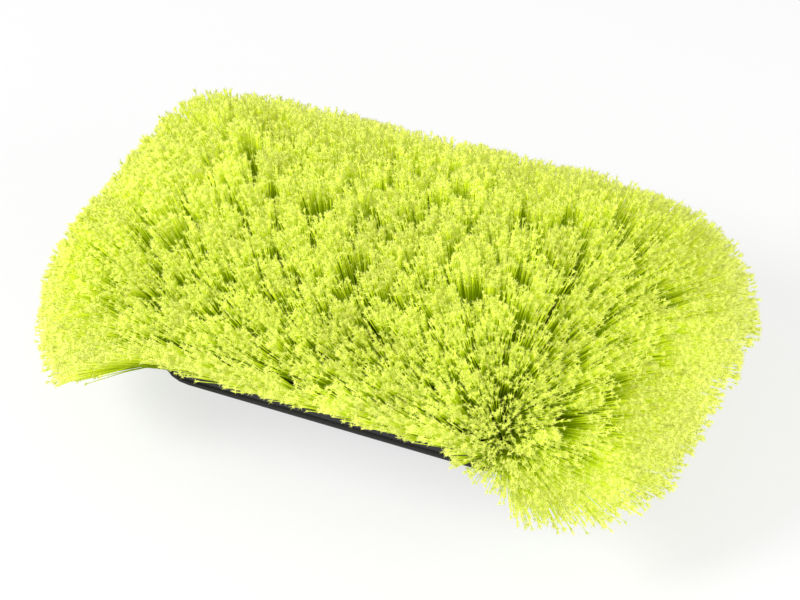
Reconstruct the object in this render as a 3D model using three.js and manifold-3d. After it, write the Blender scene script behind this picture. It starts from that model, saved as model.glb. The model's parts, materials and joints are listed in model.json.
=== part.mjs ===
import * as THREE from 'three';
import { mergeVertices } from 'three/addons/utils/BufferGeometryUtils.js';
import Module from 'manifold-3d';

// Water-fed wash brush head, lying on its back with the bristles up. Millimetres, +Z up.
// X runs along the block, -Y is the front, the pole socket opens towards +Y.

// Bristle block
const blockLength = 204;
const blockWidth = 104;
const blockCorner = 24;
const rimHeight = 34;
const wallHeight = 3.6;
const crownHeight = 20;
const crownFlat = 10;
const crownSteps = 6;
const arcSteps = 7;
const leastCorner = 4;
const clearance = 0.3;

// Tufts
const skinThickness = 2;
const trimLength = 68;
const cornerGain = 0.07;
const endGain = 0.04;
const tuftSpacing = 23.4;
const cornerFill = 24;
const tuftRows = 6;
const firstRowInset = 1.8;
const lastRowOffset = 9;
const rowGrowth = 0.29;
const strandsPerTuft = 3;
const strandSides = 3;
const rootSpread = 1.6;
const tipSpread = 6;
const rootRadius = 1.1;
const tipRadius = 3.4;
const rootDepth = 1;
const sideTilt = 38;
const endTilt = 80;
const cornerDroop = 7;
const cornerBlend = 1.4;
const fanPower = 1.9;
const seamMargin = 3.4;

// Water gallery and outlets
const galleryInset = 20;
const galleryDepth = 6;
const outletCount = 5;
const outletSpacing = 24;
const outletRadius = 1.9;

// Back cover, with the hump that the head lies on
const coverInset = 7;
const coverThickness = 4;
const coverSetback = 0.4;
const footHalfLength = 48;
const footHalfWidth = 21;
const footOffset = 11;
const humpHalfLength = 66;
const humpHalfWidth = 29;
const humpOffset = 6;
const humpCorner = 20;
const humpWall = 4;
const footFillet = 2.5;
const ribCount = 4;
const ribThickness = 3;
const ribHeight = 9;

// Pole socket
const socketTilt = 18;
const mouthY = 57;
const mouthZ = 15.4;
const bossLength = 44;
const bossRadius = 15;
const pocketRadius = 11.4;
const pocketDepth = 21;
const waterwayRadius = 7;
const waterwayLength = 60;
const insertBore = 9;
const insertLength = 18;
const flangeRadius = 14.4;
const flangeThickness = 2.6;
const washerThickness = 2;
const roundSides = 32;

// Gasket, bumper and screws
const gasketInset = 14.6;
const gasketWidth = 3;
const gasketHeight = 1.6;
const bumperHeight = 3;
const bumperThickness = 2.2;
const bumperProud = 1;
const screwInset = 11;
const screwsPerSide = 4;
const screwHeadRadius = 3.4;
const screwHeadHeight = 2.2;
const screwShankRadius = 1.7;
const screwLength = 11;
const screwSides = 12;
const recessRadius = 1.5;
const recessDepth = 1.3;

// Derived levels
const halfLength = blockLength / 2;
const halfWidth = blockWidth / 2;
const crownReach = halfWidth - crownFlat;
const wallTop = rimHeight + wallHeight;
const coverBottom = rimHeight + coverSetback;
const coverTop = coverBottom + coverThickness;
const recessTop = coverTop + clearance;
const galleryTop = recessTop + galleryDepth;
const endSplit = halfLength - blockCorner;
const socketAngle = THREE.MathUtils.degToRad(socketTilt);
const socketOut = new THREE.Vector3(0, Math.cos(socketAngle), -Math.sin(socketAngle));
const mouthCentre = new THREE.Vector3(0, mouthY, mouthZ);

const wasm = await Module();
wasm.setup();

// Closed solid from shared points and triangles, turned to face out
function solidFrom(points, triangles) {
  const corner = (index) => new THREE.Vector3().fromArray(points[index]);
  let volume = 0;
  triangles.forEach(([a, b, c]) => {
    volume += corner(a).dot(corner(b).cross(corner(c)));
  });
  const ordered = volume > 0 ? triangles : triangles.map(([a, b, c]) => [a, c, b]);
  const vertProperties = Float32Array.from(points.flat());
  const triVerts = Uint32Array.from(ordered.flat());
  return new wasm.Manifold(new wasm.Mesh({ numProp: 3, vertProperties, triVerts }));
}

// Closed solid from a three.js geometry
function solidOf(geometry) {
  const bare = geometry.clone();
  bare.deleteAttribute('normal');
  bare.deleteAttribute('uv');
  const welded = mergeVertices(bare, 1e-4);
  const position = welded.attributes.position;
  const points = [];
  for (let i = 0; i < position.count; i += 1) {
    points.push([position.getX(i), position.getY(i), position.getZ(i)]);
  }
  const triangles = [];
  const index = welded.index.array;
  for (let i = 0; i < index.length; i += 3) {
    const [a, b, c] = [index[i], index[i + 1], index[i + 2]];
    if (a !== b && b !== c && c !== a) {
      triangles.push([a, b, c]);
    }
  }
  return solidFrom(points, triangles);
}

// Rounded rectangle, anticlockwise
function outline(halfX, halfY, radius, offsetY = 0) {
  const points = [];
  const signs = [[1, 1], [-1, 1], [-1, -1], [1, -1]];
  signs.forEach(([signX, signY], quarter) => {
    for (let step = 0; step <= arcSteps; step += 1) {
      const angle = (quarter + step / arcSteps) * Math.PI / 2;
      const x = signX * (halfX - radius) + radius * Math.cos(angle);
      const y = signY * (halfY - radius) + radius * Math.sin(angle);
      points.push([x, y + offsetY]);
    }
  });
  return points;
}

// The block's own outline, drawn in by an inset
function blockOutline(inset) {
  const radius = Math.max(blockCorner - inset, leastCorner);
  return outline(halfLength - inset, halfWidth - inset, radius);
}

// Solid through stacked outlines of equal point count, each with its height
function loft(sections) {
  const points = [];
  const triangles = [];
  const count = sections[0].shape.length;
  sections.forEach(({ shape, z }) => {
    shape.forEach(([x, y]) => points.push([x, y, z]));
  });
  for (let level = 0; level + 1 < sections.length; level += 1) {
    for (let i = 0; i < count; i += 1) {
      const next = (i + 1) % count;
      const a = level * count + i;
      const b = level * count + next;
      triangles.push([a, b, b + count]);
      triangles.push([a, b + count, a + count]);
    }
  }
  const top = (sections.length - 1) * count;
  for (let i = 1; i + 1 < count; i += 1) {
    triangles.push([0, i + 1, i]);
    triangles.push([top, top + i, top + i + 1]);
  }
  return solidFrom(points, triangles);
}

// Closed ring with one profile, [outward offset, height] points, carried round the block's outline
function band(profile, inset) {
  const points = [];
  const triangles = [];
  const shapes = profile.map(([offset]) => blockOutline(inset - offset));
  const count = shapes[0].length;
  shapes.forEach((shape, k) => {
    shape.forEach(([x, y]) => points.push([x, y, profile[k][1]]));
  });
  for (let k = 0; k < profile.length; k += 1) {
    const row = k * count;
    const nextRow = ((k + 1) % profile.length) * count;
    for (let i = 0; i < count; i += 1) {
      const next = (i + 1) % count;
      triangles.push([row + i, row + next, nextRow + next]);
      triangles.push([row + i, nextRow + next, nextRow + i]);
    }
  }
  return solidFrom(points, triangles);
}

// Turned solid about Z from [radius, height] points
function turned(profile, segments) {
  const points = profile.map(([radius, height]) => new THREE.Vector2(radius, height));
  const geometry = new THREE.LatheGeometry(points, segments);
  return geometry.rotateX(Math.PI / 2);
}

// Plain bar between two corners
function bar(low, high) {
  const size = high.map((value, axis) => value - low[axis]);
  const centre = high.map((value, axis) => (value + low[axis]) / 2);
  const geometry = new THREE.BoxGeometry(...size);
  return solidOf(geometry.translate(...centre));
}

function rod(radius, x, y, bottom, top, segments = 16) {
  const geometry = turned([[0, bottom], [radius, bottom], [radius, top], [0, top]], segments);
  return solidOf(geometry.translate(x, y, 0));
}

// Crown of the block: elliptic in section, drawn in by the thickness taken off it
function crownSections(thickness, start) {
  const sections = [];
  for (let step = 0; step <= crownSteps; step += 1) {
    const angle = step / crownSteps * Math.PI / 2;
    const inset = thickness + crownReach * (1 - Math.cos(angle));
    const z = start + (wallTop + crownHeight - thickness - start) * Math.sin(angle);
    sections.push({ shape: blockOutline(inset), z });
  }
  return sections;
}

function crownZ(inset) {
  const along = Math.max(0, 1 - inset / crownReach);
  return wallTop + crownHeight * Math.sqrt(1 - along * along);
}

// Place on a rounded rectangle after a walk of the given length, with its outward normal
function walk(halfX, halfY, radius, distance) {
  const straights = [2 * (halfY - radius), 2 * (halfX - radius)];
  const arc = radius * Math.PI / 2;
  let left = distance % (2 * (straights[0] + straights[1]) + 4 * arc);
  for (let side = 0; side < 4; side += 1) {
    const straight = straights[side % 2];
    const face = side * Math.PI / 2;
    const normal = new THREE.Vector2(Math.cos(face), Math.sin(face));
    const along = new THREE.Vector2(-normal.y, normal.x);
    const reach = side % 2 === 0 ? halfX : halfY;
    if (left <= straight) {
      const place = normal.clone().multiplyScalar(reach).addScaledVector(along, left - straight / 2);
      return { place, normal };
    }
    left -= straight;
    if (left <= arc) {
      const turn = face + left / radius;
      const out = new THREE.Vector2(Math.cos(turn), Math.sin(turn));
      const hub = normal.clone().multiplyScalar(reach - radius).addScaledVector(along, straight / 2);
      return { place: hub.addScaledVector(out, radius), normal: out };
    }
    left -= arc;
  }
  return walk(halfX, halfY, radius, 0);
}

// Keeps a root off the seam between two bristle pieces
function offSeam(value, seam) {
  const away = value - seam;
  const side = away < 0 ? -1 : 1;
  return Math.abs(away) < seamMargin ? seam + side * seamMargin : value;
}

// Roots and directions of every tuft, row by row from the rim up to the crown;
// the inner rows straddle the front and back seam, so both sides mirror each other
function layTufts() {
  const tufts = [];
  const span = halfWidth - lastRowOffset - firstRowInset;
  const firstReach = 1 - firstRowInset / halfWidth;
  for (let row = 0; row < tuftRows; row += 1) {
    const share = row / (tuftRows - 1);
    const inset = firstRowInset + span * share * (1 + rowGrowth * share) / (1 + rowGrowth);
    const fan = ((1 - inset / halfWidth) / firstReach) ** fanPower;
    const grown = cornerFill * fan - inset;
    const halfX = halfLength + grown;
    const halfY = halfWidth + grown;
    const radius = Math.max(blockCorner - inset, leastCorner) + cornerFill * fan;
    const length = 4 * (halfX + halfY - 2 * radius) + 2 * Math.PI * radius;
    const fitted = length / tuftSpacing;
    const inner = inset > blockCorner;
    const even = 2 * ((row + 1) % 2);
    const count = inner ? 4 * Math.round((fitted - even) / 4) + even : 2 * Math.round(fitted / 2);
    const shift = inner ? 0.5 : (row % 2) / 2;
    const start = halfY - radius;
    for (let i = 0; i < count; i += 1) {
      const along = start + (i + shift) * length / count;
      const { place, normal } = walk(halfX, halfY, radius, along);
      place.addScaledVector(normal, -cornerFill * fan);
      const corner = 4 * normal.x ** 2 * normal.y ** 2;
      const tilt = THREE.MathUtils.lerp(sideTilt, endTilt, Math.abs(normal.x) ** cornerBlend);
      const lean = THREE.MathUtils.degToRad((tilt + cornerDroop * corner) * fan);
      const gain = fan * (cornerGain * corner + endGain * normal.x ** 2);
      const x = offSeam(offSeam(place.x, endSplit), -endSplit);
      const y = Math.abs(x) > endSplit ? place.y : offSeam(place.y, 0);
      const root = new THREE.Vector3(x, y, crownZ(inset));
      const flat = new THREE.Vector3(normal.x, normal.y, 0);
      const direction = flat.multiplyScalar(Math.sin(lean)).setZ(Math.cos(lean));
      tufts.push({ root, direction, reach: trimLength * (1 + gain) });
    }
  }
  return tufts;
}

// One strand, thin at the root and flared at the split tip
function strand(start, end) {
  const axis = end.clone().sub(start).normalize();
  const across = new THREE.Vector3(-axis.y, axis.x, 0);
  across.add(new THREE.Vector3(1e-3, 0, 0)).normalize();
  const beside = axis.clone().cross(across);
  const points = [];
  [[start, rootRadius], [end, tipRadius]].forEach(([centre, radius]) => {
    for (let side = 0; side < strandSides; side += 1) {
      const angle = side / strandSides * 2 * Math.PI;
      const point = centre.clone().addScaledVector(across, radius * Math.cos(angle));
      points.push(point.addScaledVector(beside, radius * Math.sin(angle)).toArray());
    }
  });
  const triangles = [];
  for (let side = 0; side < strandSides; side += 1) {
    const next = (side + 1) % strandSides;
    triangles.push([side, next, next + strandSides]);
    triangles.push([side, next + strandSides, side + strandSides]);
  }
  for (let side = 1; side + 1 < strandSides; side += 1) {
    triangles.push([0, side + 1, side]);
    triangles.push([strandSides, strandSides + side, strandSides + side + 1]);
  }
  return solidFrom(points, triangles);
}

// The strands of a tuft leave one hole and spread towards the tip
function tuftStrands({ root, direction, reach }) {
  const across = new THREE.Vector3(-direction.y, direction.x, 0);
  across.add(new THREE.Vector3(1e-3, 0, 0)).normalize();
  const beside = direction.clone().cross(across);
  const strands = [];
  for (let k = 0; k < strandsPerTuft; k += 1) {
    const angle = k / strandsPerTuft * 2 * Math.PI;
    const off = across.clone().multiplyScalar(Math.cos(angle)).addScaledVector(beside, Math.sin(angle));
    const start = root.clone().addScaledVector(off, rootSpread).addScaledVector(direction, -rootDepth);
    const end = root.clone().addScaledVector(off, tipSpread).addScaledVector(direction, reach);
    strands.push(strand(start, end));
  }
  return strands;
}

const outlets = [];
for (let i = 0; i < outletCount; i += 1) {
  const x = (i - (outletCount - 1) / 2) * outletSpacing;
  outlets.push(rod(outletRadius, x, 0, galleryTop - 1, wallTop + crownHeight + 1, 12));
}

// Screw places: two rows along the sides and one screw at each end
const screwPlaces = [];
for (let i = 0; i < screwsPerSide; i += 1) {
  const x = (i / (screwsPerSide - 1) - 0.5) * 2 * (endSplit - 4);
  screwPlaces.push([x, screwInset - halfWidth]);
  screwPlaces.push([x, halfWidth - screwInset]);
}
screwPlaces.push([screwInset - halfLength, 0]);
screwPlaces.push([halfLength - screwInset, 0]);

function makeBlock() {
  const step = bumperThickness - bumperProud + clearance;
  const grooveTop = rimHeight + bumperHeight + clearance;
  const ledge = skinThickness + clearance;
  const sections = [
    { shape: blockOutline(step), z: rimHeight },
    { shape: blockOutline(step), z: grooveTop },
    { shape: blockOutline(0), z: grooveTop },
    { shape: blockOutline(0), z: wallTop },
  ];
  let block = loft([...sections, ...crownSections(ledge, wallTop)]);
  const recess = blockOutline(coverInset - clearance);
  block = block.subtract(loft([{ shape: recess, z: rimHeight - 1 }, { shape: recess, z: recessTop }]));
  const gallery = blockOutline(galleryInset);
  block = block.subtract(loft([{ shape: gallery, z: recessTop - 1 }, { shape: gallery, z: galleryTop }]));
  outlets.forEach((outlet) => {
    block = block.subtract(outlet);
  });
  screwPlaces.forEach(([x, y]) => {
    const depth = coverBottom + screwHeadHeight + screwLength + clearance;
    block = block.subtract(rod(screwShankRadius + clearance, x, y, recessTop - 1, depth, 12));
  });
  const groove = gasketHeight - clearance;
  const seat = gasketWidth / 2 + clearance;
  const channel = [[-seat, recessTop - 1], [seat, recessTop - 1], [seat, recessTop + groove], [-seat, recessTop + groove]];
  return block.subtract(band(channel, gasketInset + gasketWidth / 2));
}

// Socket frame: a solid turned about Z is laid along the socket, mouth at its origin, inwards as +Z
function alongSocket(solid) {
  const inward = socketOut.clone().negate();
  const turn = new THREE.Quaternion().setFromUnitVectors(new THREE.Vector3(0, 0, 1), inward);
  return solid.applyQuaternion(turn).translate(mouthCentre.x, mouthCentre.y, mouthCentre.z);
}

function makeCover() {
  const edge = 0.8;
  let cover = loft([
    { shape: blockOutline(coverInset + edge), z: coverBottom },
    { shape: blockOutline(coverInset), z: coverBottom + edge },
    { shape: blockOutline(coverInset), z: coverTop },
  ]);
  const levels = [0, 0.08, 0.3, 0.55, 0.8, 1];
  const humpAt = (share, inset, z) => {
    const swell = share ** 1.6;
    const halfX = THREE.MathUtils.lerp(footHalfLength, humpHalfLength, swell) - inset;
    const halfY = THREE.MathUtils.lerp(footHalfWidth, humpHalfWidth, swell) - inset;
    const offset = THREE.MathUtils.lerp(footOffset, humpOffset, swell);
    return { shape: outline(halfX, halfY, Math.max(humpCorner - inset, leastCorner), offset), z };
  };
  const foot = [
    humpAt(0, footFillet, 0),
    humpAt(0, footFillet * 0.3, footFillet * 0.3),
  ];
  const height = coverBottom + 1;
  const body = levels.slice(1).map((share) => humpAt(share, 0, share * height));
  cover = cover.add(loft([...foot, ...body]));
  for (let i = 0; i < ribCount; i += 1) {
    const x = (i / (ribCount - 1) - 0.5) * 2 * (humpHalfLength - 14);
    const low = [x - ribThickness / 2, screwInset + 6 - halfWidth, coverBottom - ribHeight];
    cover = cover.add(bar(low, [x + ribThickness / 2, 0, coverBottom + 1]));
  }
  const inner = levels.map((share) => humpAt(share, humpWall, Math.max(share * height, humpWall)));
  const throat = { shape: inner[inner.length - 1].shape, z: coverTop + 1 };
  cover = cover.subtract(loft([...inner, throat]));
  const boss = turned([[0, 0], [bossRadius - 1, 0], [bossRadius, 1], [bossRadius, bossLength], [0, bossLength]], roundSides);
  cover = cover.add(solidOf(alongSocket(boss)));
  const bore = turned([
    [0, -1],
    [pocketRadius, -1],
    [pocketRadius, pocketDepth],
    [waterwayRadius, pocketDepth],
    [waterwayRadius, waterwayLength],
    [0, waterwayLength],
  ], roundSides);
  cover = cover.subtract(solidOf(alongSocket(bore)));
  const reach = 2 * bossRadius;
  const around = { shape: blockOutline(-reach), z: rimHeight - clearance };
  const above = loft([around, { shape: blockOutline(-reach), z: coverTop + reach }]);
  const plate = blockOutline(coverInset);
  cover = cover.subtract(above.subtract(loft([{ shape: plate, z: 0 }, { shape: plate, z: coverTop }])));
  screwPlaces.forEach(([x, y]) => {
    const head = coverBottom + screwHeadHeight;
    cover = cover.subtract(rod(screwHeadRadius + clearance, x, y, coverBottom - ribHeight, head));
    cover = cover.subtract(rod(screwShankRadius + clearance, x, y, coverBottom - 1, coverTop + 1, 12));
  });
  return cover;
}

function makeGasket() {
  const half = gasketWidth / 2;
  const low = coverTop + 0.15;
  const high = low + gasketHeight - 0.2;
  const soft = 0.5;
  const profile = [
    [soft - half, low],
    [half - soft, low],
    [half, low + soft],
    [half, high - soft],
    [half - soft, high],
    [soft - half, high],
    [-half, high - soft],
    [-half, low + soft],
  ];
  return band(profile, gasketInset + half);
}

function makeBumper() {
  const inner = bumperProud - bumperThickness;
  const low = rimHeight;
  const high = rimHeight + bumperHeight;
  const profile = [[inner, low], [0, low]];
  const steps = 4;
  for (let i = 1; i < steps; i += 1) {
    const angle = (i / steps - 0.5) * Math.PI;
    profile.push([bumperProud * Math.cos(angle), (low + high) / 2 + bumperHeight / 2 * Math.sin(angle)]);
  }
  profile.push([0, high], [inner, high]);
  return band(profile, 0);
}

function makeSocket() {
  const body = pocketRadius - clearance;
  const start = -clearance;
  const profile = [
    [insertBore + 0.8, start - flangeThickness],
    [flangeRadius - 0.6, start - flangeThickness],
    [flangeRadius, start - flangeThickness + 0.6],
    [flangeRadius, start],
    [body, start],
    [body, insertLength],
    [insertBore, insertLength],
    [insertBore, start - flangeThickness + 0.8],
  ];
  profile.push(profile[0]);
  return solidOf(alongSocket(turned(profile, roundSides)));
}

function makeWasher() {
  const outer = pocketRadius - 0.8;
  const inner = waterwayRadius + 0.5;
  const low = insertLength + clearance;
  const high = low + washerThickness;
  const profile = [[inner, low], [outer, low], [outer, high], [inner, high], [inner, low]];
  return solidOf(alongSocket(turned(profile, roundSides)));
}

function makeScrew(x, y) {
  const dome = 0.5;
  const tip = screwHeadHeight + screwLength;
  const profile = [
    [0, 0],
    [screwHeadRadius * 0.7, 0],
    [screwHeadRadius, dome],
    [screwHeadRadius, screwHeadHeight - clearance],
    [screwShankRadius, screwHeadHeight - clearance],
    [screwShankRadius, tip - 2],
    [screwShankRadius * 0.4, tip],
    [0, tip],
  ];
  const drive = turned([[0, -1], [recessRadius, -1], [recessRadius * 0.9, recessDepth], [0, recessDepth]], 6);
  const screw = solidOf(turned(profile, screwSides)).subtract(solidOf(drive));
  return screw.translate([x, y, coverBottom]);
}

// Skin of the crown, cut into four pieces that carry the tufts
const outerCrown = loft(crownSections(0, wallTop + clearance));
const innerCrown = loft([
  { shape: blockOutline(skinThickness), z: rimHeight },
  ...crownSections(skinThickness, wallTop + clearance),
]);
let crownSkin = outerCrown.subtract(innerCrown);
outlets.forEach((outlet) => {
  crownSkin = crownSkin.subtract(outlet);
});

const seam = clearance / 2;
const low = rimHeight - 1;
const high = wallTop + crownHeight + 1;
const bristleAreas = {
  bristles_front: bar([seam - endSplit, -halfWidth - 1, low], [endSplit - seam, -seam, high]),
  bristles_back: bar([seam - endSplit, seam, low], [endSplit - seam, halfWidth + 1, high]),
  bristles_left: bar([-halfLength - 1, -halfWidth - 1, low], [-endSplit - seam, halfWidth + 1, high]),
  bristles_right: bar([endSplit + seam, -halfWidth - 1, low], [halfLength + 1, halfWidth + 1, high]),
};

function areaOf({ root }) {
  if (Math.abs(root.x) > endSplit) {
    return root.x < 0 ? 'bristles_left' : 'bristles_right';
  }
  return root.y < 0 ? 'bristles_front' : 'bristles_back';
}

const tufts = layTufts();
console.log(`${tufts.length} tufts, ${tufts.length * strandsPerTuft} strands`);

function makeBristles(area) {
  let bristles = crownSkin.intersect(bristleAreas[area]);
  tufts.filter((tuft) => areaOf(tuft) === area).forEach((tuft) => {
    tuftStrands(tuft).forEach((piece) => {
      bristles = bristles.add(piece);
    });
  });
  return bristles;
}

// Colours, roughness and metalness
const finishes = {
  blackPlastic: { color: 0x161618, roughness: 0.55, metalness: 0 },
  blackRubber: { color: 0x1c1b1d, roughness: 0.85, metalness: 0 },
  greyPlastic: { color: 0x3a3b3d, roughness: 0.5, metalness: 0 },
  steel: { color: 0xb4b6b8, roughness: 0.35, metalness: 1 },
  lime: { color: 0xc9dc3f, roughness: 0.6, metalness: 0 },
};

const brush = new THREE.Group();
brush.name = 'water_fed_brush';

function place(name, solid, finish) {
  const { vertProperties, triVerts } = solid.getMesh();
  const geometry = new THREE.BufferGeometry();
  geometry.setAttribute('position', new THREE.BufferAttribute(new Float32Array(vertProperties), 3));
  geometry.setIndex(new THREE.BufferAttribute(new Uint32Array(triVerts), 1));
  geometry.computeVertexNormals();
  const mesh = new THREE.Mesh(geometry, new THREE.MeshStandardMaterial(finishes[finish]));
  mesh.name = name;
  brush.add(mesh);
}

place('bristle_block', makeBlock(), 'blackPlastic');
place('back_cover', makeCover(), 'blackPlastic');
place('gallery_gasket', makeGasket(), 'blackRubber');
place('edge_bumper', makeBumper(), 'blackRubber');
place('pole_socket', makeSocket(), 'greyPlastic');
place('socket_washer', makeWasher(), 'blackRubber');
screwPlaces.forEach(([x, y], i) => {
  const number = String(i + 1).padStart(2, '0');
  place(`cover_screw_${number}`, makeScrew(x, y), 'steel');
});
Object.keys(bristleAreas).forEach((area) => place(area, makeBristles(area), 'lime'));

export default brush;
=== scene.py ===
import json
import math
import bpy
import numpy as np
from mathutils import Matrix, Vector


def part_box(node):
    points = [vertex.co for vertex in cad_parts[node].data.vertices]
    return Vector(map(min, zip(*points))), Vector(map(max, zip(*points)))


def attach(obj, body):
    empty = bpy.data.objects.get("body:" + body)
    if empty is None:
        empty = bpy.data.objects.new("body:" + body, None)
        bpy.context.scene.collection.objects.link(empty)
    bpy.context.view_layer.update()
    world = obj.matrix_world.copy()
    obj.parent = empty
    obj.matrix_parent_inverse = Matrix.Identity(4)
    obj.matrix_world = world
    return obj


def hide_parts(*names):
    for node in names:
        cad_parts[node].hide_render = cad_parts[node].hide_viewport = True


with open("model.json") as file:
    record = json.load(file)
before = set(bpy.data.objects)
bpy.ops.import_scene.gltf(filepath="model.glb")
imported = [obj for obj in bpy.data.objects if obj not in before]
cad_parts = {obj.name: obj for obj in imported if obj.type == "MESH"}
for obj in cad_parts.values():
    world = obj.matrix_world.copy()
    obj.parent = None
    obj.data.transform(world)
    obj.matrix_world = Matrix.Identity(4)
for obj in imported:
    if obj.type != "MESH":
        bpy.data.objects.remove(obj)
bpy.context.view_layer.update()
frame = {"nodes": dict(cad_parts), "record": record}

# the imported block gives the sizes, metres throughout
blockLow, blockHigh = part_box("bristle_block")
halfLength = (blockHigh.x - blockLow.x) / 2
halfWidth = (blockHigh.y - blockLow.y) / 2
rim = blockLow.z

block = {
    "corner": 0.024,        # plan radius of the block's corners
    "leastCorner": 0.004,   # radius left where the crown has drawn in
    "wall": 0.0036,         # upright wall above the rim
    "crown": 0.020,         # rise of the crown above the wall
    "flat": 0.010,          # half width of the flat top
}
outlet = {
    "count": 5,             # water holes along the crown
    "spacing": 0.024,
    "radius": 0.0019,
    "sides": 16,
    "drill": 0.02,          # length of the drill that cuts them
}
wallTop = rim + block["wall"]
crownTop = wallTop + block["crown"]
crownReach = halfWidth - block["flat"]
tiny = 1e-6


def deselectAll():
    if bpy.context.object and bpy.context.object.mode != "OBJECT":
        bpy.ops.object.mode_set(mode="OBJECT")
    bpy.ops.object.select_all(action="DESELECT")


def keepPiece(piece, name, material, nodes=()):
    piece.name = name
    piece.data.name = name
    piece.data.materials.clear()
    piece.data.materials.append(material)
    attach(piece, "root")
    if nodes:
        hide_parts(*nodes)
    return piece


# materials

fibre = {
    # share of the length, and the colour there; the dark root and stem are painted shade deep among the
    # tufts, the pale split ends a painted highlight
    "root": (0.3, (0.040, 0.078, 0.001)),
    "stem": (0.8, (0.330, 0.470, 0.002)),
    "tip": (0.93, (0.810, 0.945, 0.034)),
    "pale": (1.0, (0.930, 0.985, 0.250)),   # split ends catch the light
    "dimmest": 0.66,
    "brightest": 1.1,
    "paintedGlow": 0.235,                          # painted light: the fibres glow in their own colour, standing in for light passing through the day-glow lime fibres
    "specular": 0.05,
    "grain": 700.0,
    "roughness": 0.55,
    "bump": 0.1,
}
plasticLooks = {
    "blockPlastic": {
        "dark": (0.0085, 0.0085, 0.0090), "light": (0.017, 0.017, 0.018),
        "grain": 1400.0, "bump": 0.12, "roughness": 0.52,
    },
    "coverPlastic": {
        "dark": (0.010, 0.010, 0.0105), "light": (0.020, 0.020, 0.021),
        "grain": 1100.0, "bump": 0.2, "roughness": 0.5,
    },
    "bumperRubber": {
        "dark": (0.010, 0.0095, 0.010), "light": (0.021, 0.020, 0.021),
        "grain": 2200.0, "bump": 0.25, "roughness": 0.72,
    },
    "sealRubber": {
        "dark": (0.015, 0.015, 0.015), "light": (0.024, 0.024, 0.024),
        "grain": 1800.0, "bump": 0.2, "roughness": 0.8,
    },
    "socketNylon": {
        "dark": (0.028, 0.029, 0.031), "light": (0.044, 0.045, 0.048),
        "grain": 1600.0, "bump": 0.15, "roughness": 0.42,
    },
}
mould = {
    "fineDetail": 3,
    "cloud": 38.0,          # broad, faint change of colour and gloss
    "cloudDetail": 4,
    "darkAt": 0.3,
    "lightAt": 0.75,
    "smoother": 0.08,
    "rougher": 0.1,
    "dent": 0.0002,
}
steel = {
    "dark": (0.3, (0.42, 0.42, 0.43)),
    "light": (0.7, (0.6, 0.6, 0.61)),
    "streak": 900.0,
    "streakDetail": 2,
    "grain": 1500.0,
    "roughness": 0.34,
    "bump": 0.08,
}
fine = {
    "detail": 3,
    "roughSpan": 0.1,
    "dent": 0.0001,
}


def newMaterial(name):
    material = bpy.data.materials.new(name)
    material.use_nodes = True
    nodes = material.node_tree.nodes
    nodes.clear()
    out = nodes.new("ShaderNodeOutputMaterial")
    shader = nodes.new("ShaderNodeBsdfPrincipled")
    material.node_tree.links.new(shader.outputs["BSDF"], out.inputs["Surface"])
    return material, nodes, material.node_tree.links, shader


def addRamp(nodes, stops):
    ramp = nodes.new("ShaderNodeValToRGB")
    while len(ramp.color_ramp.elements) < len(stops):
        ramp.color_ramp.elements.new(0.5)
    for element, (place, colour) in zip(ramp.color_ramp.elements, stops):
        element.position = place
        element.color = (*colour, 1)
    return ramp


def addNoise(nodes, links, scale, detail):
    place = nodes.new("ShaderNodeTexCoord")
    noise = nodes.new("ShaderNodeTexNoise")
    noise.inputs["Scale"].default_value = scale
    noise.inputs["Detail"].default_value = detail
    links.new(place.outputs["Object"], noise.inputs["Vector"])
    return noise


def addSpan(nodes, links, source, low, high, target):
    span = nodes.new("ShaderNodeMapRange")
    span.inputs["To Min"].default_value = low
    span.inputs["To Max"].default_value = high
    links.new(source, span.inputs["Value"])
    links.new(span.outputs["Result"], target)


def addDents(nodes, links, shader, noise, bump, depth):
    dent = nodes.new("ShaderNodeBump")
    dent.inputs["Strength"].default_value = bump
    dent.inputs["Distance"].default_value = depth
    links.new(noise.outputs["Fac"], dent.inputs["Height"])
    links.new(dent.outputs["Normal"], shader.inputs["Normal"])


def addGrain(nodes, links, shader, look):
    noise = addNoise(nodes, links, look["grain"], fine["detail"])
    low, high = look["roughness"] - fine["roughSpan"], look["roughness"] + fine["roughSpan"]
    addSpan(nodes, links, noise.outputs["Fac"], low, high, shader.inputs["Roughness"])
    addDents(nodes, links, shader, noise, look["bump"], fine["dent"])


def makeFibreMaterial():
    material, nodes, links, shader = newMaterial("limeFibre")
    along = nodes.new("ShaderNodeAttribute")
    along.attribute_name = "along"
    tone = nodes.new("ShaderNodeAttribute")
    tone.attribute_name = "tone"
    # the ramp along each filament paints shade towards the roots and a highlight at the split ends
    ramp = addRamp(nodes, [fibre[part] for part in ("root", "stem", "tip", "pale")])
    links.new(along.outputs["Fac"], ramp.inputs["Fac"])
    value = nodes.new("ShaderNodeHueSaturation")
    links.new(ramp.outputs["Color"], value.inputs["Color"])
    addSpan(nodes, links, tone.outputs["Fac"], fibre["dimmest"], fibre["brightest"], value.inputs["Value"])
    links.new(value.outputs["Color"], shader.inputs["Base Color"])
    # painted light: the fibre colour is also given as emission, so the fibres glow though they are no lamp
    links.new(value.outputs["Color"], shader.inputs["Emission Color"])
    shader.inputs["Emission Strength"].default_value = fibre["paintedGlow"]
    shader.inputs["Specular IOR Level"].default_value = fibre["specular"]
    addGrain(nodes, links, shader, fibre)
    return material


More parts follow.
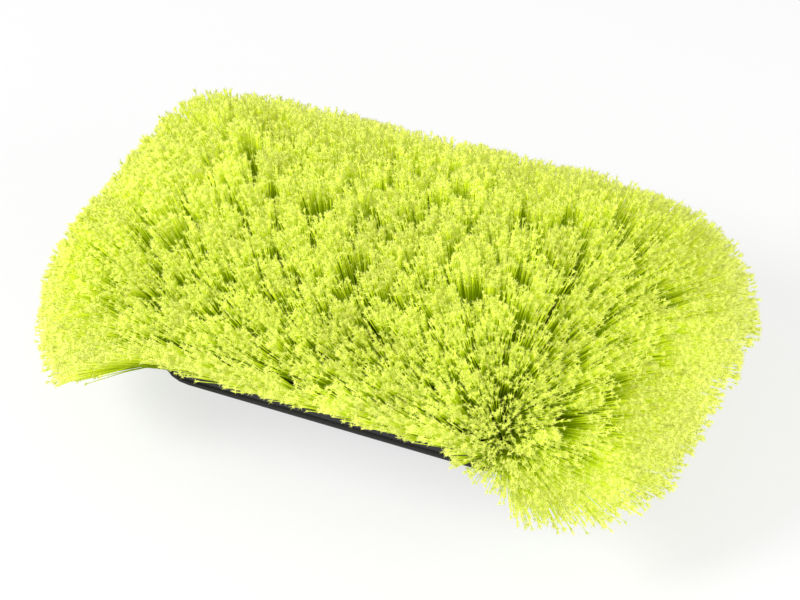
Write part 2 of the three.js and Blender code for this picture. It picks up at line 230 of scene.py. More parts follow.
def makePlasticMaterial(name, look):
    material, nodes, links, shader = newMaterial(name)
    cloud = addNoise(nodes, links, mould["cloud"], mould["cloudDetail"])
    ramp = addRamp(nodes, [(mould["darkAt"], look["dark"]), (mould["lightAt"], look["light"])])
    links.new(cloud.outputs["Fac"], ramp.inputs["Fac"])
    links.new(ramp.outputs["Color"], shader.inputs["Base Color"])
    low, high = look["roughness"] - mould["smoother"], look["roughness"] + mould["rougher"]
    addSpan(nodes, links, cloud.outputs["Fac"], low, high, shader.inputs["Roughness"])
    grain = addNoise(nodes, links, look["grain"], mould["fineDetail"])
    addDents(nodes, links, shader, grain, look["bump"], mould["dent"])
    return material


def makeSteelMaterial():
    material, nodes, links, shader = newMaterial("screwSteel")
    streak = addNoise(nodes, links, steel["streak"], steel["streakDetail"])
    ramp = addRamp(nodes, [steel["dark"], steel["light"]])
    links.new(streak.outputs["Fac"], ramp.inputs["Fac"])
    links.new(ramp.outputs["Color"], shader.inputs["Base Color"])
    shader.inputs["Metallic"].default_value = 1
    addGrain(nodes, links, shader, steel)
    return material


limeFibre = makeFibreMaterial()
plastics = {name: makePlasticMaterial(name, look) for name, look in plasticLooks.items()}
screwSteel = makeSteelMaterial()

finishes = {
    "bristle_block": plastics["blockPlastic"],
    "back_cover": plastics["coverPlastic"],
    "edge_bumper": plastics["bumperRubber"],
    "gallery_gasket": plastics["sealRubber"],
    "socket_washer": plastics["sealRubber"],
    "pole_socket": plastics["socketNylon"],
}
for name, node in frame["nodes"].items():
    finish = screwSteel if name.startswith("cover_screw") else finishes.get(name, limeFibre)
    node.data.materials.clear()
    node.data.materials.append(finish)
print("materials ready")


# tuft rows follow the block's outline, and lean out more towards the rim

tuft = {
    "rows": 7,
    "spacing": 0.0172,
    "firstInset": 0.0018,       # outermost row, in from the block's edge
    "lastOffset": 0.007,        # innermost row, out from the middle line
    "rowGrowth": 0.29,          # rows lie further apart inwards
    "cornerFill": 0.034,        # rounds the fan at the corners
    "roundest": 0.999,          # of the half width, for a corner's radius
    "trim": 0.0665,             # length of a tuft
    "backCornerGain": 0.15,     # tufts are longer at the back corners
    "frontCornerGain": -0.12,   # and worn shorter at the front ones
    "endGain": -0.03,
    "shoulderGain": 0.10,       # longer where the top turns into the ends
    "sideTilt": 38,             # degrees from upright along the front and back
    "endTilt": 80,              # and at the ends
    "backCornerDroop": 4,       # further tilt at the corners
    "frontCornerDroop": 5,
    "cornerBlend": 1.4,
    "fanPower": 1.9,
    "wobble": 0.035,
    "innermost": 0.99,          # of the half width, for a tip's inset
}
# make a product of a direction's parts peak at one
peak = {
    "corner": 4,                # x2 y2
    "endCorner": 6.75,          # x4 y2
    "middle": 4,                # s (1 - s)
}
endSplit = halfLength - block["corner"]
chance = np.random.default_rng(20198)


def unit(rows):
    return rows / np.linalg.norm(rows, axis=1)[:, None]


def lengthwise(rows, aims):
    return aims * np.sum(rows * aims, axis=1)[:, None]


def walkOutline(halfX, halfY, radius, distance):
    arc = radius * math.pi / 2
    sides = (2 * (halfY - radius), 2 * (halfX - radius))
    left = distance % (2 * (sides[0] + sides[1]) + 4 * arc)
    place = np.zeros((len(left), 2))
    normal = np.zeros((len(left), 2))
    for side in range(4):
        face = side * math.pi / 2
        out = np.array((math.cos(face), math.sin(face)))
        along = np.array((-out[1], out[0]))
        straight = sides[side % 2]
        reach = halfX if side % 2 == 0 else halfY
        here = (left >= 0) & (left <= straight)
        place[here] = (np.outer(reach, out) + np.outer(left - straight / 2, along))[here]
        normal[here] = out
        left = np.where(here, -1, left - straight)
        here = (left >= 0) & (left <= arc)
        turn = face + left / radius
        bend = np.stack((np.cos(turn), np.sin(turn)), axis=1)
        corner = np.outer(reach - radius, out) + np.outer(straight / 2, along) + bend * radius[:, None]
        place[here] = corner[here]
        normal[here] = bend[here]
        left = np.where(here, -1, left - arc)
    return place, normal


def rowInset(share):
    span = halfWidth - tuft["lastOffset"] - tuft["firstInset"]
    return tuft["firstInset"] + span * share * (1 + tuft["rowGrowth"] * share) / (1 + tuft["rowGrowth"])


def rowShape(inset):
    outwards = np.maximum(0, 1 - inset / halfWidth) / (1 - tuft["firstInset"] / halfWidth)
    fan = outwards ** tuft["fanPower"]
    fill = tuft["cornerFill"] * fan
    radius = np.maximum(block["corner"] - inset, block["leastCorner"]) + fill
    halfX = halfLength + fill - inset
    halfY = halfWidth + fill - inset
    radius = np.minimum(radius, halfY * tuft["roundest"])
    length = 4 * (halfX + halfY - 2 * radius) + 2 * math.pi * radius
    return fan, fill, halfX, halfY, radius, length


def rootsAndAims(inset, turn):
    fan, fill, halfX, halfY, radius, length = rowShape(inset)
    place, normal = walkOutline(halfX, halfY, radius, halfY - radius + turn * length)
    place = place - normal * fill[:, None]
    blend = np.abs(normal[:, 0]) ** tuft["cornerBlend"]
    corner = peak["corner"] * normal[:, 0] ** 2 * normal[:, 1] ** 2
    atFront = normal[:, 1] < 0
    droop = np.where(atFront, tuft["frontCornerDroop"], tuft["backCornerDroop"]) * corner
    endCorner = peak["endCorner"] * normal[:, 0] ** 4 * normal[:, 1] ** 2
    gain = np.where(atFront, tuft["frontCornerGain"] * corner, tuft["backCornerGain"] * endCorner)
    lean = np.radians((tuft["sideTilt"] + (tuft["endTilt"] - tuft["sideTilt"]) * blend + droop) * fan)
    full = np.minimum(fan, 1)
    shoulder = tuft["shoulderGain"] * peak["middle"] * full * (1 - full) * normal[:, 0] ** 2
    reach = tuft["trim"] * (1 + shoulder + fan * (gain + tuft["endGain"] * normal[:, 0] ** 2))
    rise = np.sqrt(1 - np.maximum(0, 1 - np.maximum(inset, 0) / crownReach) ** 2)
    root = np.column_stack((place, wallTop + block["crown"] * rise))
    aim = np.column_stack((normal * np.sin(lean)[:, None], np.cos(lean)))
    return root, aim, reach


def layTufts():
    roots, aims, reaches, rows = [], [], [], []
    for row in range(tuft["rows"]):
        inset = rowInset(row / (tuft["rows"] - 1))
        length = float(rowShape(np.array([inset]))[5][0])
        count = 2 * round(length / tuft["spacing"] / 2)
        turn = (np.arange(count) + (row % 2) / 2) / count
        root, aim, reach = rootsAndAims(np.full(count, inset), turn)
        roots.append(root)
        aims.append(aim)
        reaches.append(reach)
        rows.append(np.full(count, row))
    aims = np.concatenate(aims)
    aims = unit(aims + chance.normal(0, tuft["wobble"], aims.shape))
    return np.concatenate(roots), aims, np.concatenate(reaches), np.concatenate(rows)


tuftRoots, tuftAims, tuftReaches, tuftRows = layTufts()
print("tufts laid:", len(tuftRoots))


# one filament with a split end, modelled a few times and then copied

filament = {
    "count": 41000,
    "kinds": 10,
    "seed": 700,
    "sides": 3,
    "radius": 0.00021,
    "length": 0.067,
    "bendAt": 0.55,             # share of the stem where it can bend
    "splitAt": 0.953,           # share of the length where the end splits
    "overlap": 0.03,            # stem runs on into the split end
    "splits": 8,
    "splitRadius": 0.00026,
    "splitSpread": 0.0020,
    "splitStray": (-0.01, 0.02),
    "splitTurn": 0.3,
    "splitReach": (0.15, 1.0),
    "splitEnd": (0.968, 1.0),
    "across": (0.31, 0.74, 0.6),        # off the filaments' own directions
    "mostTriangles": 190000,            # to a piece
}


def modelFilament(kind):
    deselectAll()
    length = filament["length"]
    stem = length * (filament["splitAt"] + filament["overlap"])
    bpy.ops.mesh.primitive_cylinder_add(
        vertices=filament["sides"], radius=filament["radius"], depth=stem, location=(0, 0, stem / 2))
    piece = bpy.context.object
    bpy.ops.object.mode_set(mode="EDIT")
    bpy.ops.mesh.select_all(action="SELECT")
    bpy.ops.mesh.bisect(plane_co=(0, 0, stem * filament["bendAt"]), plane_no=(0, 0, 1))
    draw = np.random.default_rng(filament["seed"] + kind)
    for split in range(filament["splits"]):
        stray = draw.uniform(-filament["splitTurn"], filament["splitTurn"])
        turn = 2 * math.pi * (split + stray) / filament["splits"]
        reach = filament["splitSpread"] * draw.uniform(*filament["splitReach"])
        start = Vector((0, 0, length * (filament["splitAt"] + draw.uniform(*filament["splitStray"]))))
        height = length * draw.uniform(*filament["splitEnd"])
        end = Vector((reach * math.cos(turn), reach * math.sin(turn), height))
        lean = (end - start).to_track_quat("Z", "Y").to_euler()
        bpy.ops.mesh.primitive_cone_add(
            vertices=filament["sides"], radius1=filament["splitRadius"], radius2=0,
            depth=(end - start).length, location=(start + end) / 2, rotation=lean)
    bpy.ops.mesh.select_all(action="SELECT")
    bpy.ops.mesh.quads_convert_to_tris()
    bpy.ops.mesh.normals_make_consistent(inside=False)
    bpy.ops.object.mode_set(mode="OBJECT")
    bpy.ops.object.transform_apply(location=True, rotation=True, scale=True)
    mesh = piece.data
    points = np.array([v.co[:] for v in mesh.vertices])
    faces = np.array([p.vertices[:] for p in mesh.polygons if len(p.vertices) == 3])
    bpy.data.objects.remove(piece)
    bpy.data.meshes.remove(mesh)
    return points, faces


filamentKinds = [modelFilament(kind) for kind in range(filament["kinds"])]
print("filament kinds:", [len(faces) for points, faces in filamentKinds])


spread = {
    "from": -0.09,          # row shares that the tips spread over
    "fromSides": -0.04,     # kept clear of the strip at the front and back
    "to": 1.16,
    "sideFacing": 0.5,      # what turns less than this to an end is front or back
    "pool": 4,              # places tried for each one used
    "probe": 0.004,         # step that measures the room round a place
    "mostRoom": 98,         # percentile that the room is cut off at
    "rimShare": 0.1,        # row share below which the ends are closer set
    "rimWeight": 2,
    "cling": 1.3,           # filaments that cling together at the tip
    "mingle": 0.0014,       # how far neighbouring tufts reach into each other
    "batch": 2000,
    "pull": 0.165,          # share by which tips draw to their own tuft
    "pullAtRim": 0.03,
    "pullRows": 4,          # rows that it grows over
    "pullStray": 0.06,
    "pullStrayAtRim": 0.01,
    "mostPull": 0.4,
    "hole": 0.0028,         # radius of the bundle in its hole
    "holeStray": 0.0005,
    "fullHole": 0.011,      # tips this far out start at the hole's edge
    "seat": 0.002,          # depth of the bundle in its hole
    "flare": 1.35,
    "sag": 0.0020,
    "stray": 0.0008,
    "cornerStray": 0.0026,
    "leastLean": 0.2,
    "loose": 0.05,          # share of the lowest filaments that hang out of line
    "looseDrop": (0.2, 0.55),
    "looseStray": 0.010,
}
trim = {
    "lengthStray": 0.0012,
    "clingLengthStray": 0.0022,
    "tuftLengthStray": 0.013,
    "shortOnTop": 0.022,    # mean share that a filament falls short by
    "shortAtEnds": 0.055,
    "shortAtCorners": 0.07,
    "regain": 0.4,          # share of it that the whole tuft is longer by
    "mostShort": 0.3,
    "mostStretch": 1.04,
    "longest": 1.11,        # trimmed off beyond this share of the tuft's reach
}
shade = {
    "mean": 0.5,
    "tuftStray": 0.08,
    "clingStray": 0.12,
    "stray": 0.12,
    "lightRim": 0.65,       # stems at the rim stand in the light
    "lightRows": 2,
}
parting = {
    "seed": 41,
    "ends": (0.0, 0.5),     # turns at the middle of the right and left end
    "seamShare": 0.24,      # tips part where the top rows meet the end rows
    "seamSpan": 0.08,       # share of the outline to each side of the end's middle
    "perEnd": 6,
    "scattered": 12,
    "scatter": (0.2, 0.9),  # row shares
    "jitter": 0.035,
    "turnJitter": 0.25,     # of that, along the outline
    "outletStray": 0.006,
    "radius": 0.0118,
    "sizes": (0.55, 1.1),
    "opening": 0.72,
    "evenness": (0.6, 1),
    "depth": 0.8,           # how much of the way along the tuft is left out
    "nearest": 1e-5,
}


def tipAt(share, turn):
    inset = np.minimum(rowInset(share), halfWidth * tuft["innermost"])
    root, aim, reach = rootsAndAims(inset, turn)
    return root + aim * reach[:, None]


def layPartings():
    draw = np.random.default_rng(parting["seed"])
    ends = np.repeat(parting["ends"], parting["perEnd"])
    along = np.tile(np.linspace(-1, 1, parting["perEnd"]), 2) * parting["seamSpan"]
    scattered = draw.uniform(*parting["scatter"], parting["scattered"])
    share = np.append(np.full(len(ends), parting["seamShare"]), scattered)
    turn = np.append(ends + along, draw.uniform(0, 1, parting["scattered"]))
    share = share + draw.normal(0, parting["jitter"], len(share))
    turn = turn + draw.normal(0, parting["jitter"] * parting["turnJitter"], len(turn))
    overOutlets = np.zeros((outlet["count"], 3))
    overOutlets[:, 0] = (np.arange(outlet["count"]) - (outlet["count"] - 1) / 2) * outlet["spacing"]
    overOutlets[:, 1] = draw.normal(0, parting["outletStray"], outlet["count"])
    overOutlets[:, 2] = crownTop + tuft["trim"]
    places = np.concatenate((tipAt(share, turn % 1), overOutlets))
    return places, parting["radius"] * draw.uniform(*parting["sizes"], len(places))


def spreadTips(count):
    pool = count * spread["pool"]
    share = chance.uniform(spread["from"], spread["to"], pool)
    turn = chance.uniform(0, 1, pool)
    tip = tipAt(share, turn)
    inwards = tipAt(share + spread["probe"], turn) - tip
    onwards = tipAt(share, turn + spread["probe"]) - tip
    weight = np.linalg.norm(np.cross(inwards, onwards), axis=1)
    weight = np.minimum(weight, np.percentile(weight, spread["mostRoom"]))
    facing = rootsAndAims(rowInset(share), turn)[1]
    sideways = np.abs(facing[:, 0]) < spread["sideFacing"] * np.hypot(facing[:, 0], facing[:, 1])
    weight[sideways & (share < spread["fromSides"])] = 0
    weight[~sideways & (share < spread["rimShare"])] *= spread["rimWeight"]
    chosen = chance.choice(pool, count, replace=False, p=weight / weight.sum())
    return tip[chosen]


def nearestTuft(places, centres):
    nearest = np.empty(len(places), dtype=int)
    for first in range(0, len(places), spread["batch"]):
        batch = slice(first, first + spread["batch"])
        gap = np.linalg.norm(places[batch, None, :] - centres[None, :, :], axis=2)
        nearest[batch] = gap.argmin(axis=1)
    return nearest


def partTips(tips, aims):
    for place, radius in zip(*layPartings()):
        away = tips - place
        away = away - lengthwise(away, aims) * parting["depth"]
        gap = np.maximum(np.linalg.norm(away, axis=1), parting["nearest"])
        near = gap < radius
        widen = parting["opening"] * (radius - gap[near]) / gap[near]
        widen = widen * chance.uniform(*parting["evenness"], near.sum())
        tips[near] += away[near] * widen[:, None]


def hangLoose(tips, base, owner):
    loose = (tuftRows[owner] == 0) & (np.abs(tuftRoots[owner, 0]) < endSplit)
    loose = loose & (chance.uniform(0, 1, len(tips)) < spread["loose"])
    drop = chance.uniform(*spread["looseDrop"], loose.sum())
    tips[loose, 0] += chance.normal(0, spread["looseStray"], loose.sum())
    tips[loose, 2] += (base[loose, 2] - tips[loose, 2]) * drop
    tips[loose, 1] += (base[loose, 1] - tips[loose, 1]) * drop


def growFilaments():
    places = spreadTips(int(filament["count"] / spread["cling"]))
    group = chance.integers(len(places), size=filament["count"])
    tips = places[group]
    centres = tuftRoots + tuftAims * tuftReaches[:, None]
    owner = nearestTuft(tips + chance.normal(0, spread["mingle"], tips.shape), centres)
    aims = tuftAims[owner]
    # draw to the tuft, and start in its hole
    inwards = np.clip(tuftRows / spread["pullRows"], 0, 1)
    pull = spread["pullAtRim"] + (spread["pull"] - spread["pullAtRim"]) * inwards
    pullStray = spread["pullStray"] * inwards + spread["pullStrayAtRim"]
    pull = np.clip(chance.normal(pull, pullStray), 0, spread["mostPull"])
    offset = (tips - centres[owner]) * (1 - pull[owner])[:, None]
    across = offset - lengthwise(offset, aims)
    widest = np.maximum(np.linalg.norm(across, axis=1), tiny)
    outwards = np.minimum(widest / spread["fullHole"], 1)[:, None]
    start = across / widest[:, None] * spread["hole"] * outwards
    start = start + chance.normal(0, spread["holeStray"], start.shape)
    base = tuftRoots[owner] - aims * spread["seat"]
    # stray, more so at the corners
    leaning = np.hypot(aims[:, 0], aims[:, 1])
    cornering = peak["corner"] * (aims[:, 0] * aims[:, 1]) ** 2
    cornering = cornering / np.maximum(leaning, spread["leastLean"]) ** 2
    stray = spread["stray"] + (spread["cornerStray"] - spread["stray"]) * cornering
    tips = centres[owner] + offset + chance.normal(0, 1, tips.shape) * stray[:, None]
    # uneven lengths
    stretch = chance.normal(1, trim["tuftLengthStray"], len(tuftRoots))[owner]
    stretch = stretch + chance.normal(0, trim["clingLengthStray"] / tuft["trim"], len(places))[group]
    stretch = stretch + chance.normal(0, trim["lengthStray"] / tuft["trim"], len(tips))
    short = trim["shortOnTop"] + (trim["shortAtEnds"] - trim["shortOnTop"]) * leaning
    short = short + trim["shortAtCorners"] * cornering
    shortBy = np.minimum(chance.exponential(1, len(tips)) * short, trim["mostShort"])
    stretch = stretch + short * trim["regain"] - shortBy
    line = (tips - base) * np.minimum(stretch, trim["mostStretch"])[:, None]
    longest = tuftReaches[owner] * trim["longest"]
    tips = base + line * np.minimum(1, longest / np.linalg.norm(line, axis=1))[:, None]
    partTips(tips, aims)
    hangLoose(tips, base, owner)
    tone = chance.normal(shade["mean"], shade["tuftStray"], len(tuftRoots))[owner]
    tone = tone + chance.normal(0, shade["clingStray"], len(places))[group]
    tone = tone + chance.normal(0, shade["stray"], len(tips))
    return owner, base, start, tips, np.clip(tone, 0, 1)


owner, base, start, tips, tone = growFilaments()
kinds = chance.integers(filament["kinds"], size=len(owner))
spins = chance.uniform(0, 2 * math.pi, len(owner))


def strandMesh(name, picked):
    points, faces, alongs, tones = [], [], [], []
    total = 0
    for kind, (shape, shapeFaces) in enumerate(filamentKinds):
        these = picked[kinds[picked] == kind]
        if not len(these):
            continue
        along = shape[:, 2] / filament["length"]
        line = tips[these] - base[these]
        aim = unit(line)
        side = unit(np.cross(aim, np.array(filament["across"])))
        other = np.cross(aim, side)
        cosine, sine = np.cos(spins[these])[:, None], np.sin(spins[these])[:, None]
        turnX = shape[None, :, 0] * cosine - shape[None, :, 1] * sine
        turnY = shape[None, :, 0] * sine + shape[None, :, 1] * cosine
        straight = lengthwise(line, tuftAims[owner[these]])
        flare = along ** spread["flare"]
        co = base[these][:, None, :] + start[these][:, None, :] * (1 - flare)[None, :, None]
        co = co + straight[:, None, :] * along[None, :, None]
        co = co + (line - straight)[:, None, :] * flare[None, :, None]
        co = co + turnX[:, :, None] * side[:, None, :] + turnY[:, :, None] * other[:, None, :]
        flatness = np.hypot(aim[:, 0], aim[:, 1])
        co[:, :, 2] -= spread["sag"] * flatness[:, None] * (along ** 2)[None, :]
        points.append(co.reshape(-1, 3))
        step = np.arange(len(these)) * len(shape) + total
        faces.append((shapeFaces[None, :, :] + step[:, None, None]).reshape(-1, 3))
        # painted light: stems in the first rows are lifted up the ramp, so they get less of the painted
        # root shade
        lit = shade["lightRim"] * np.clip(1 - tuftRows[owner[these]] / shade["lightRows"], 0, 1)
        alongs.append((along[None, :] + (1 - along)[None, :] * lit[:, None]).ravel())
        tones.append(np.repeat(tone[these], len(shape)))
        total += len(these) * len(shape)
    co, faces = np.concatenate(points), np.concatenate(faces)
    mesh = bpy.data.meshes.new(name)
    mesh.vertices.add(len(co))
    mesh.vertices.foreach_set("co", co.astype(np.float32).ravel())
    mesh.loops.add(len(faces) * 3)
    mesh.loops.foreach_set("vertex_index", faces.astype(np.int32).ravel())
    mesh.polygons.add(len(faces))
    mesh.polygons.foreach_set("loop_start", np.arange(0, len(faces) * 3, 3, dtype=np.int32))
    mesh.polygons.foreach_set("use_smooth", np.ones(len(faces), dtype=bool))
    mesh.update(calc_edges=True)
    for label, values in (("along", np.concatenate(alongs)), ("tone", np.concatenate(tones))):
        layer = mesh.attributes.new(label, "FLOAT", "POINT")
        layer.data.foreach_set("value", np.clip(values, 0, 1).astype(np.float32))
    mesh.validate()
    piece = bpy.data.objects.new(name, mesh)
    bpy.context.scene.collection.objects.link(piece)
    return piece


rootX, rootY = tuftRoots[owner, 0], tuftRoots[owner, 1]
atEnds = np.where(rootX < 0, "left", "right")
atSides = np.where(rootY < 0, "front", "back")
areas = np.where(np.abs(rootX) > endSplit, atEnds, atSides)
mostFilaments = filament["mostTriangles"] // max(len(faces) for points, faces in filamentKinds)
triangles = 0
for area in ("front", "back", "left", "right"):
    inArea = np.flatnonzero(areas == area)
    inArea = inArea[np.argsort(tuftRows[owner[inArea]], kind="stable")]
    for part, picked in enumerate(np.array_split(inArea, math.ceil(len(inArea) / mostFilaments))):
        name = area + "Bristles" + str(part + 1)
        strands = strandMesh(name, picked)
        piece = keepPiece(strands, name, limeFibre, ["bristles_" + area])
        triangles += len(piece.data.polygons)
        print(name, len(piece.data.polygons))
print("bristles grown, triangles:", triangles)


# black bed that the tufts stand in: the crown of the block, a closed shell

bed = {
    "clearance": 0.0003,        # above the block's wall
    "plate": 0.0002,            # thin plate that the dome is raised from
    "thickness": 0.002,
    "cornerSegments": 10,
    "steps": 10,
    "level": 0.9,               # least upright part of a flat face's normal
    "slack": 1e-5,
    "smooth": 40,
}


def raiseDome(halfX, halfY, corner, reach, foot, top, upwards):
    inset, height = 0.0, foot
    for step in range(1, bed["steps"] + 1):
        angle = step / bed["steps"] * math.pi / 2
        nextInset = reach * (1 - math.cos(angle))
        nextHeight = foot + (top - foot) * math.sin(angle)
        rise = nextHeight - height
        if nextInset < corner - block["leastCorner"]:
            bpy.ops.mesh.inset(thickness=nextInset - inset, depth=rise * upwards)
        else:
            bpy.ops.mesh.extrude_region_move(TRANSFORM_OT_translate={"value": (0, 0, rise)})
            scaleX = (halfX - nextInset) / (halfX - inset)
            scaleY = (halfY - nextInset) / (halfY - inset)
            bpy.ops.transform.resize(value=(scaleX, scaleY, 1), center_override=(0, 0, nextHeight))
        inset, height = nextInset, nextHeight


def pickFlat(piece, upwards, height):
    bpy.ops.mesh.select_all(action="DESELECT")
    bpy.ops.object.mode_set(mode="OBJECT")
    for face in piece.data.polygons:
        flat = face.normal.z * upwards > bed["level"]
        face.select = flat and abs(face.center.z - height) < bed["slack"]
    bpy.ops.object.mode_set(mode="EDIT")


def makeDrill():
    deselectAll()
    first = -(outlet["count"] - 1) / 2 * outlet["spacing"]
    for step in range(outlet["count"]):
        bpy.ops.mesh.primitive_cylinder_add(
            vertices=outlet["sides"], radius=outlet["radius"], depth=outlet["drill"],
            location=(first + step * outlet["spacing"], 0, crownTop))
        bpy.ops.object.mode_set(mode="EDIT")    # the next ones join the first
    bpy.ops.object.mode_set(mode="OBJECT")
    return bpy.context.object


def makeBed():
    deselectAll()
    foot = wallTop + bed["clearance"]
    bpy.ops.mesh.primitive_cube_add(size=1, location=(0, 0, foot + bed["plate"] / 2))
    piece = bpy.context.object
    piece.scale = (2 * halfLength, 2 * halfWidth, bed["plate"])
    bpy.ops.object.transform_apply(location=True, rotation=True, scale=True)
    bpy.ops.object.mode_set(mode="EDIT")
    bpy.ops.mesh.select_mode(type="EDGE")
    bpy.ops.mesh.select_all(action="DESELECT")
    bpy.ops.object.mode_set(mode="OBJECT")
    for edge in piece.data.edges:
        a, b = (piece.data.vertices[i].co for i in edge.vertices)
        edge.select = abs(a.x - b.x) < tiny and abs(a.y - b.y) < tiny
    bpy.ops.object.mode_set(mode="EDIT")
    bpy.ops.mesh.bevel(offset=block["corner"], segments=bed["cornerSegments"], affect="EDGES")
    bpy.ops.mesh.select_mode(type="FACE")
    plateTop = foot + bed["plate"]
    pickFlat(piece, 1, plateTop)
    raiseDome(halfLength, halfWidth, block["corner"], crownReach, plateTop, crownTop, 1)
    pickFlat(piece, -1, foot)
    wall = bed["thickness"]
    bpy.ops.mesh.inset(thickness=wall, depth=0)
    raiseDome(
        halfLength - wall, halfWidth - wall, block["corner"] - wall, crownReach - wall,
        foot, crownTop - wall, -1)
    bpy.ops.object.mode_set(mode="OBJECT")
    drill = makeDrill()
    cut = piece.modifiers.new("outlets", "BOOLEAN")
    cut.operation = "DIFFERENCE"
    cut.solver = "EXACT"
    cut.object = drill
    deselectAll()
    piece.select_set(True)
    bpy.context.view_layer.objects.active = piece
    bpy.ops.object.modifier_apply(modifier=cut.name)
    bpy.data.objects.remove(drill)
    bpy.ops.object.shade_smooth_by_angle(angle=math.radians(bed["smooth"]))
    return keepPiece(piece, "tuftBed", plastics["blockPlastic"])


makeBed()
print("bed made")


# pole thread in the socket's bore

thread = {
    "bore": 0.009,
    "depth": 0.0011,
    "sink": 0.0002,         # ridge's middle lies behind the bore's wall
    "sides": 6,
    "pitch": 0.005,
    "turns": 2.8,
    "start": 0.0022,        # below the socket's face
    "steps": 36,            # to a turn
    "smooth": 50,
}


def makeThread():
    face = next(m for m in frame["record"]["mounts"] if m["name"] == "socket_face")
    outward = Vector(face["axis"]).normalized()
    mouth = Vector((0, face["pos_m"][1], face["pos_m"][2]))
    deselectAll()
    bpy.ops.mesh.primitive_circle_add(
        vertices=thread["sides"], radius=thread["depth"],
        location=(thread["bore"] + thread["sink"], 0, 0), rotation=(math.pi / 2, 0, 0))
    piece = bpy.context.object
    bpy.ops.object.transform_apply(location=True, rotation=True, scale=True)
    ridge = piece.modifiers.new("ridge", "SCREW")
    ridge.axis = "Z"
    ridge.angle = 2 * math.pi * thread["turns"]
    ridge.screw_offset = thread["pitch"] * thread["turns"]
    ridge.steps = int(thread["steps"] * thread["turns"])
    ridge.render_steps = ridge.steps
    bpy.ops.object.modifier_apply(modifier=ridge.name)
    bpy.ops.object.mode_set(mode="EDIT")
    bpy.ops.mesh.select_all(action="SELECT")
    bpy.ops.mesh.fill_holes(sides=thread["sides"])
    bpy.ops.mesh.select_all(action="SELECT")
    bpy.ops.mesh.normals_make_consistent(inside=False)
    bpy.ops.object.mode_set(mode="OBJECT")
    turn = (-outward).to_track_quat("Z", "Y").to_matrix().to_4x4()
    piece.matrix_world = Matrix.Translation(mouth - outward * thread["start"]) @ turn
    bpy.ops.object.transform_apply(location=True, rotation=True, scale=True)
    bpy.ops.object.shade_smooth_by_angle(angle=math.radians(thread["smooth"]))
    return keepPiece(piece, "poleThread", plastics["socketNylon"])


makeThread()
print("thread made")


# plain studio

studio = {
    "floor": 0.86,
    "floorSize": 8,
    "floorDrop": 0.0002,
    "floorRoughness": 0.9,
    "floorSpecular": 0.1,
    "floorWhite": 0.7,      # share of plain white where the floor is seen
    "world": 0.5,
    "aim": (0, 0, 0.07),    # lamps point here
}
lamps = {
    "keyLamp": {"place": (-0.9, -0.8, 1.2), "size": 0.6, "power": 22.0},
    "fillLamp": {"place": (1.3, -0.3, 0.6), "size": 0.9, "power": 11.0},
}


def addSeen(nodes, links):
    path = nodes.new("ShaderNodeLightPath")
    seen = nodes.new("ShaderNodeMath")
    seen.operation = "MAXIMUM"
    links.new(path.outputs["Is Camera Ray"], seen.inputs[0])
    links.new(path.outputs["Is Glossy Ray"], seen.inputs[1])
    return seen.outputs[0]


def makeFloor():
    deselectAll()
    bpy.ops.mesh.primitive_plane_add(size=studio["floorSize"], location=(0, 0, -studio["floorDrop"]))
    floor = bpy.context.object
    floor.name = "floor"
    material, nodes, links, shader = newMaterial("floorPaper")
    shader.inputs["Base Color"].default_value = (studio["floor"],) * 3 + (1,)
    shader.inputs["Roughness"].default_value = studio["floorRoughness"]
    shader.inputs["Specular IOR Level"].default_value = studio["floorSpecular"]
    white = nodes.new("ShaderNodeEmission")
    share = nodes.new("ShaderNodeMath")
    share.operation = "MULTIPLY"
    share.inputs[1].default_value = studio["floorWhite"]
    links.new(addSeen(nodes, links), share.inputs[0])
    mix = nodes.new("ShaderNodeMixShader")
    links.new(share.outputs[0], mix.inputs["Fac"])
    links.new(shader.outputs["BSDF"], mix.inputs[1])
    links.new(white.outputs["Emission"], mix.inputs[2])
    out = [n for n in nodes if n.type == "OUTPUT_MATERIAL"][0]
    links.new(mix.outputs["Shader"], out.inputs["Surface"])
    floor.data.materials.append(material)


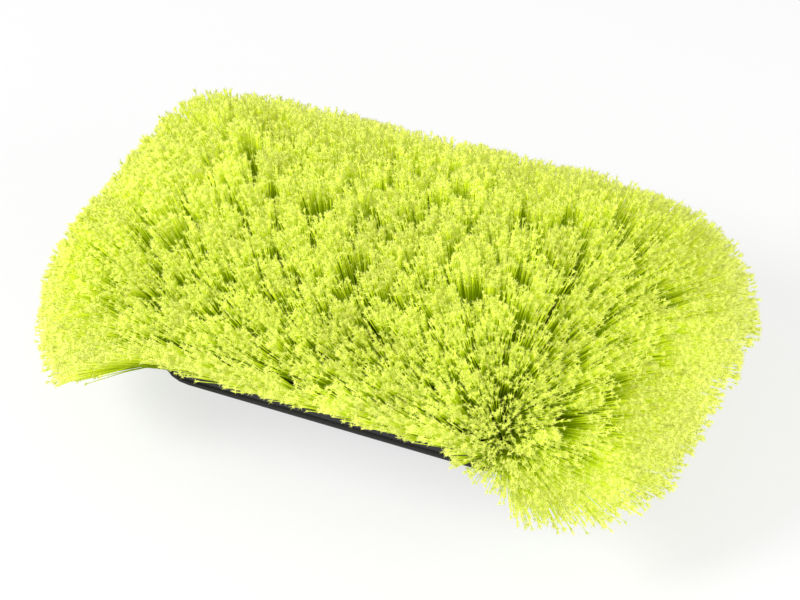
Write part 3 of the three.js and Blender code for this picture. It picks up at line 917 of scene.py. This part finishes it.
def makeWorld():
    world = bpy.data.worlds.new("softRoom")
    bpy.context.scene.world = world
    world.use_nodes = True
    nodes, links = world.node_tree.nodes, world.node_tree.links
    back = nodes["Background"]
    back.inputs["Color"].default_value = (1, 1, 1, 1)
    level = nodes.new("ShaderNodeMath")      # white where seen, softer as light
    level.operation = "MULTIPLY_ADD"
    level.inputs[1].default_value = 1 - studio["world"]
    level.inputs[2].default_value = studio["world"]
    links.new(addSeen(nodes, links), level.inputs[0])
    links.new(level.outputs[0], back.inputs["Strength"])


def makeLamps():
    for name, look in lamps.items():
        lamp = bpy.data.lights.new(name, "AREA")
        lamp.shape = "DISK"
        lamp.size = look["size"]
        lamp.energy = look["power"]
        rig = bpy.data.objects.new(name, lamp)
        bpy.context.scene.collection.objects.link(rig)
        rig.location = look["place"]
        ray = Vector(studio["aim"]) - Vector(look["place"])
        rig.rotation_euler = ray.to_track_quat("-Z", "Y").to_euler()


view = {
    "azimuth": 33.0,
    "elevation": 42.6,
    "roll": -8.7,
    "distance": 1.343,
    "target": (0.0206, -0.0085, 0.0838),
    "pixelsPerMetre": 2150,     # at the target
    "imageWidth": 800,
    "sensor": 36,
}


def makeCamera():
    a, e, r = (math.radians(view[k]) for k in ("azimuth", "elevation", "roll"))
    back = Vector((math.sin(a) * math.cos(e), -math.cos(a) * math.cos(e), math.sin(e)))
    right = Vector((math.cos(a), math.sin(a), 0))
    up = back.cross(right)
    rolledRight = right * math.cos(r) + up * math.sin(r)
    rolledUp = up * math.cos(r) - right * math.sin(r)
    camera = bpy.data.objects.new("camera", bpy.data.cameras.new("camera"))
    bpy.context.scene.collection.objects.link(camera)
    place = Vector(view["target"]) + back * view["distance"]
    turn = Matrix((rolledRight, rolledUp, back)).transposed().to_4x4()
    camera.matrix_world = Matrix.Translation(place) @ turn
    camera.data.sensor_width = view["sensor"]
    spanWidth = view["imageWidth"] / view["pixelsPerMetre"]
    camera.data.lens = view["sensor"] * view["distance"] / spanWidth
    bpy.context.scene.camera = camera


makeFloor()
makeWorld()
makeLamps()
makeCamera()
bpy.context.scene.view_settings.view_transform = "Standard"
print("studio and camera ready")
